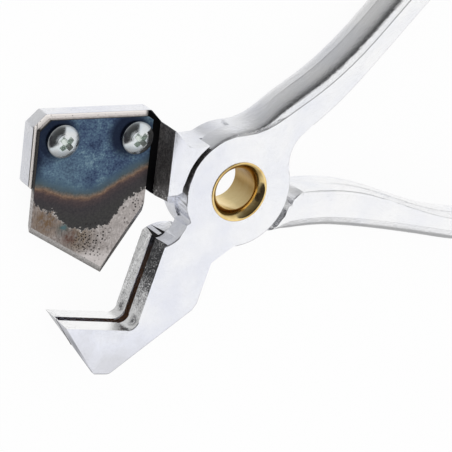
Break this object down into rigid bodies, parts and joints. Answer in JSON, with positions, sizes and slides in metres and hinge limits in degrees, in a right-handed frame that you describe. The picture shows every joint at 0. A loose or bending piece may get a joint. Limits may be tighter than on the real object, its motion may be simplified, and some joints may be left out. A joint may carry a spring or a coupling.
{
  "type": "hose cutter",
  "caption": "Pliers-type hose cutter: lapped plated castings on a tube rivet, a screwed-on pointed blade that closes into a slotted V cradle, and a wire latch at the handle ends.",
  "frame": {"origin": "on the pivot axis, at half the thickness of the castings", "axes": "+X from the pivot towards the handles, along the blade holder's straight edges; +Z out of the front face, along the pivot; +Y completes the frame, towards the blade holder's side"},
  "size_m": [0.218, 0.1499, 0.0139],
  "materials": {
    "plated_casting": "bright plating, satin on the flat faces and grainy in the cradle",
    "blade_steel": "heat-blued with a bare ground edge",
    "zinc_screw": "bright zinc plating",
    "rivet_brass": "polished",
    "spring_wire": "oiled wire",
    "latch_wire": "plated wire"
  },
  "bodies": {
    "anvil": {"anvil_half": "plated_casting", "pivot_rivet": "rivet_brass", "opening_spring": "spring_wire"},
    "blade": {"blade_half": "plated_casting", "cutting_blade": "blade_steel", "blade_screw_outer": "zinc_screw", "blade_screw_inner": "zinc_screw"},
    "latch": {"latch_bail": "latch_wire"}
  },
  "joints": [
    {"name": "jaw_hinge", "type": "hinge", "parent": "anvil", "child": "blade", "pos_m": [0, 0, 0], "axis": [0, 0, 1], "range_deg": [-28, 28], "stiffness_Nm_per_rad": 0.6},
    {"name": "latch_hinge", "type": "hinge", "parent": "anvil", "child": "latch", "pos_m": [0.1075, 0.09533, 0], "axis": [0, 0, 1], "range_deg": [-57.8, 90]}
  ]
}
